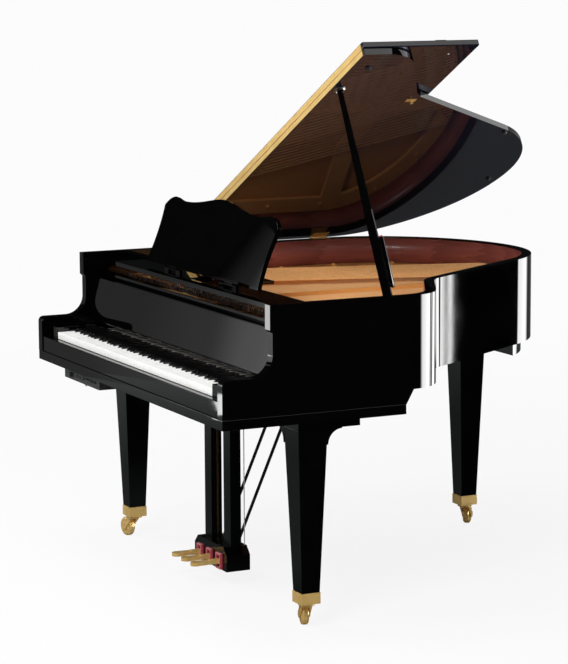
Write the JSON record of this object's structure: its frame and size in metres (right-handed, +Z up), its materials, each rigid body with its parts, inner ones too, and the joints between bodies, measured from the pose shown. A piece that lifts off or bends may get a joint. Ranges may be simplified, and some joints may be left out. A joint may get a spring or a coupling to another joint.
{
  "type": "baby grand piano",
  "caption": "Small grand piano in polished black, lid up on its prop, with working keys, hammers, dampers, pedal lyre, fallboard, music desk, folding props and brass casters.",
  "frame": {"origin": "on the floor, under the middle of the footprint", "axes": "+X to the treble end, +Y from the keyboard to the tail, +Z up"},
  "size_m": [1.4804, 1.52, 1.6885],
  "materials": {
    "black_polish": "black polyester, polished to a high gloss",
    "bare_wood": "plain hardwood",
    "spruce": "varnished spruce",
    "gold_iron": "gold bronze lacquer",
    "steel": "bright steel wire",
    "black_steel": "black enamel",
    "copper": "copper winding",
    "brass": "polished brass",
    "red_felt": "wool felt",
    "cable_grey": "grey sheath",
    "key_white": "polished white key tops",
    "key_black": "satin black key tops",
    "hammer_felt": "wood with wool felt",
    "damper_black": "black stained wood",
    "unit_black": "fine grained plastic"
  },
  "bodies": {
    "case": {"outer_rim": "black_polish", "inner_rim": "bare_wood", "keybed": "black_polish", "key_slip": "black_polish", "key_blocks": "black_polish", "stretcher": "black_polish", "pin_block": "bare_wood", "back_beams": "bare_wood", "soundboard": "spruce", "bridges": "spruce", "iron_plate": "gold_iron", "tuning_pins": "steel", "treble_strings": "steel", "bass_strings": "copper", "legs": "black_polish", "leg_ferrules": "brass", "leg_corbels": "black_polish", "lyre_posts": "black_polish", "lyre_box": "black_polish", "lyre_braces": "black_steel", "pedal_bushings": "red_felt", "pedal_cable": "cable_grey", "lid_hinges": "brass", "lid_prop_bracket": "brass", "desk_rails": "black_polish", "control_unit": "unit_black"},
    "lid": {"lid_main": "black_polish", "lid_hinge_leaves": "brass", "flap_hinge_rear_leaf": "brass"},
    "flap": {"lid_flap": "black_polish", "flap_hinge_front_leaf": "brass"},
    "long_prop": {"lid_prop": "black_polish"},
    "short_prop": {"lid_prop_short": "black_polish"},
    "fall": {"fallboard": "black_polish"},
    "shelf": {"music_shelf": "black_polish"},
    "desk": {"music_desk": "black_polish"},
    "stay": {"desk_stay": "black_polish"},
    "pedal_soft_lever": {"pedal_soft": "brass"},
    "rod_soft": {"pedal_rod_soft": "steel"},
    "pedal_sostenuto_lever": {"pedal_sostenuto": "brass"},
    "rod_sostenuto": {"pedal_rod_sostenuto": "steel"},
    "pedal_sustain_lever": {"pedal_sustain": "brass"},
    "rod_sustain": {"pedal_rod_sustain": "steel"},
    "damper_set": {"dampers": "damper_black"},
    "key_frame_set": {"key_frame": "bare_wood"},
    "white_odd_keys": {"white_keys_odd": "key_white"},
    "white_odd_hammers": {"hammers_white_odd": "hammer_felt"},
    "white_even_keys": {"white_keys_even": "key_white"},
    "white_even_hammers": {"hammers_white_even": "hammer_felt"},
    "black_odd_keys": {"black_keys_odd": "key_black"},
    "black_odd_hammers": {"hammers_black_odd": "hammer_felt"},
    "black_even_keys": {"black_keys_even": "key_black"},
    "black_even_hammers": {"hammers_black_even": "hammer_felt"},
    "swivel_bass": {"caster_fork_bass": "brass"},
    "wheel_bass": {"caster_wheel_bass": "brass"},
    "swivel_treble": {"caster_fork_treble": "brass"},
    "wheel_treble": {"caster_wheel_treble": "brass"},
    "swivel_rear": {"caster_fork_rear": "brass"},
    "wheel_rear": {"caster_wheel_rear": "brass"},
    "knob": {"control_knob": "unit_black"}
  },
  "joints": [
    {"name": "lid_hinge", "type": "hinge", "parent": "case", "child": "lid", "pos_m": [-0.72462, 0, 0.9685], "axis": [0, -1, 0], "range_deg": [0, 25]},
    {"name": "flap_hinge", "type": "hinge", "parent": "lid", "child": "flap", "pos_m": [-0.0831, -0.229, 1.32749], "axis": [0.887, 0, 0.4617], "range_deg": [0, 172]},
    {"name": "prop_fold", "type": "hinge", "parent": "case", "child": "long_prop", "pos_m": [0.68418, -0.202, 0.944], "axis": [-0.6038, -0.7325, -0.3143], "range_deg": [0, 68]},
    {"name": "short_prop_swing", "type": "hinge", "parent": "long_prop", "child": "short_prop", "pos_m": [0.67553, -0.18728, 0.99023], "axis": [-0.6497, 0.6808, -0.3382], "range_deg": [0, 60]},
    {"name": "fallboard_hinge", "type": "hinge", "parent": "case", "child": "fall", "pos_m": [0.01018, -0.586, 0.755], "axis": [1, 0, 0], "range_deg": [0, 98]},
    {"name": "shelf_slide", "type": "slide", "parent": "case", "child": "shelf", "axis": [0, 1, 0], "range_m": [0, 0.06]},
    {"name": "desk_tilt", "type": "hinge", "parent": "shelf", "child": "desk", "pos_m": [0.01018, -0.498, 0.958], "axis": [-1, 0, 0], "range_deg": [0, 68]},
    {"name": "desk_stay_fold", "type": "hinge", "parent": "desk", "child": "stay", "pos_m": [0.01018, -0.45003, 1.0467], "axis": [1, 0, 0], "range_deg": [0, 132]},
    {"name": "pedal_soft_press", "type": "hinge", "parent": "case", "child": "pedal_soft_lever", "pos_m": [-0.06182, -0.442, 0.077], "axis": [1, 0, 0], "range_deg": [0, 6]},
    {"name": "rod_soft_lift", "type": "slide", "parent": "case", "child": "rod_soft", "axis": [0, 0, 1], "range_m": [0, 0.00445]},
    {"name": "pedal_sostenuto_press", "type": "hinge", "parent": "case", "child": "pedal_sostenuto_lever", "pos_m": [0.01018, -0.442, 0.077], "axis": [1, 0, 0], "range_deg": [0, 6], "stiffness_Nm_per_rad": 20, "springref_deg": -11.46},
    {"name": "rod_sostenuto_lift", "type": "slide", "parent": "case", "child": "rod_sostenuto", "axis": [0, 0, 1], "range_m": [0, 0.00445]},
    {"name": "pedal_sustain_press", "type": "hinge", "parent": "case", "child": "pedal_sustain_lever", "pos_m": [0.08218, -0.442, 0.077], "axis": [1, 0, 0], "range_deg": [0, 6], "stiffness_Nm_per_rad": 20, "springref_deg": -11.46},
    {"name": "rod_sustain_lift", "type": "slide", "parent": "case", "child": "rod_sustain", "axis": [0, 0, 1], "range_m": [0, 0.00445]},
    {"name": "damper_lift", "type": "slide", "parent": "case", "child": "damper_set", "axis": [0, 0, 1], "range_m": [0, 0.005]},
    {"name": "key_frame_shift", "type": "slide", "parent": "case", "child": "key_frame_set", "axis": [1, 0, 0], "range_m": [0, 0.0025], "stiffness_N_per_m": 3000, "springref_m": -0.004},
    {"name": "white_odd_dip", "type": "hinge", "parent": "key_frame_set", "child": "white_odd_keys", "pos_m": [0.01018, -0.517, 0.701], "axis": [1, 0, 0], "range_deg": [0, 2.6], "stiffness_Nm_per_rad": 12, "springref_deg": -20.05},
    {"name": "white_odd_blow", "type": "hinge", "parent": "key_frame_set", "child": "white_odd_hammers", "pos_m": [0.01018, -0.46, 0.815], "axis": [1, 0, 0], "range_deg": [0, 20]},
    {"name": "white_even_dip", "type": "hinge", "parent": "key_frame_set", "child": "white_even_keys", "pos_m": [0.01018, -0.517, 0.701], "axis": [1, 0, 0], "range_deg": [0, 2.6], "stiffness_Nm_per_rad": 12, "springref_deg": -20.05},
    {"name": "white_even_blow", "type": "hinge", "parent": "key_frame_set", "child": "white_even_hammers", "pos_m": [0.01018, -0.46, 0.815], "axis": [1, 0, 0], "range_deg": [0, 20]},
    {"name": "black_odd_dip", "type": "hinge", "parent": "key_frame_set", "child": "black_odd_keys", "pos_m": [0.01018, -0.517, 0.701], "axis": [1, 0, 0], "range_deg": [0, 2.6], "stiffness_Nm_per_rad": 5, "springref_deg": -20.05},
    {"name": "black_odd_blow", "type": "hinge", "parent": "key_frame_set", "child": "black_odd_hammers", "pos_m": [0.01018, -0.46, 0.815], "axis": [1, 0, 0], "range_deg": [0, 20]},
    {"name": "black_even_dip", "type": "hinge", "parent": "key_frame_set", "child": "black_even_keys", "pos_m": [0.01018, -0.517, 0.701], "axis": [1, 0, 0], "range_deg": [0, 2.6], "stiffness_Nm_per_rad": 5, "springref_deg": -20.05},
    {"name": "black_even_blow", "type": "hinge", "parent": "key_frame_set", "child": "black_even_hammers", "pos_m": [0.01018, -0.46, 0.815], "axis": [1, 0, 0], "range_deg": [0, 20]},
    {"name": "caster_swivel_bass", "type": "hinge", "parent": "case", "child": "swivel_bass", "pos_m": [-0.63882, -0.46, 0.077], "axis": [0, 0, 1], "continuous": true},
    {"name": "caster_spin_bass", "type": "hinge", "parent": "swivel_bass", "child": "wheel_bass", "pos_m": [-0.68216, -0.46764, 0.032], "axis": [0.1736, -0.9848, 0], "continuous": true},
    {"name": "caster_swivel_treble", "type": "hinge", "parent": "case", "child": "swivel_treble", "pos_m": [0.65918, -0.46, 0.077], "axis": [0, 0, 1], "continuous": true},
    {"name": "caster_spin_treble", "type": "hinge", "parent": "swivel_treble", "child": "wheel_treble", "pos_m": [0.6171, -0.44714, 0.032], "axis": [-0.2924, -0.9563, 0], "continuous": true},
    {"name": "caster_swivel_rear", "type": "hinge", "parent": "case", "child": "swivel_rear", "pos_m": [-0.28782, 0.615, 0.077], "axis": [0, 0, 1], "continuous": true},
    {"name": "caster_spin_rear", "type": "hinge", "parent": "swivel_rear", "child": "wheel_rear", "pos_m": [-0.32052, 0.64444, 0.032], "axis": [-0.6691, -0.7431, 0], "continuous": true},
    {"name": "knob_turn", "type": "hinge", "parent": "case", "child": "knob", "pos_m": [-0.45982, -0.746, 0.605], "axis": [0, -1, 0], "range_deg": [0, 270]}
  ],
  "couplings": [
    {"joint": "desk_stay_fold", "follows": "desk_tilt", "ratio": 1.9412},
    {"joint": "pedal_soft_press", "follows": "key_frame_shift", "rad_per_m": 41.888},
    {"joint": "rod_soft_lift", "follows": "key_frame_shift", "ratio": 1.7802},
    {"joint": "rod_sostenuto_lift", "follows": "pedal_sostenuto_press", "m_per_rad": 0.0425},
    {"joint": "rod_sustain_lift", "follows": "pedal_sustain_press", "m_per_rad": 0.0425},
    {"joint": "damper_lift", "follows": "pedal_sustain_press", "m_per_rad": 0.047746},
    {"joint": "white_odd_blow", "follows": "white_odd_dip", "ratio": 7.6923},
    {"joint": "white_even_blow", "follows": "white_even_dip", "ratio": 7.6923},
    {"joint": "black_odd_blow", "follows": "black_odd_dip", "ratio": 7.6923},
    {"joint": "black_even_blow", "follows": "black_even_dip", "ratio": 7.6923}
  ]
}
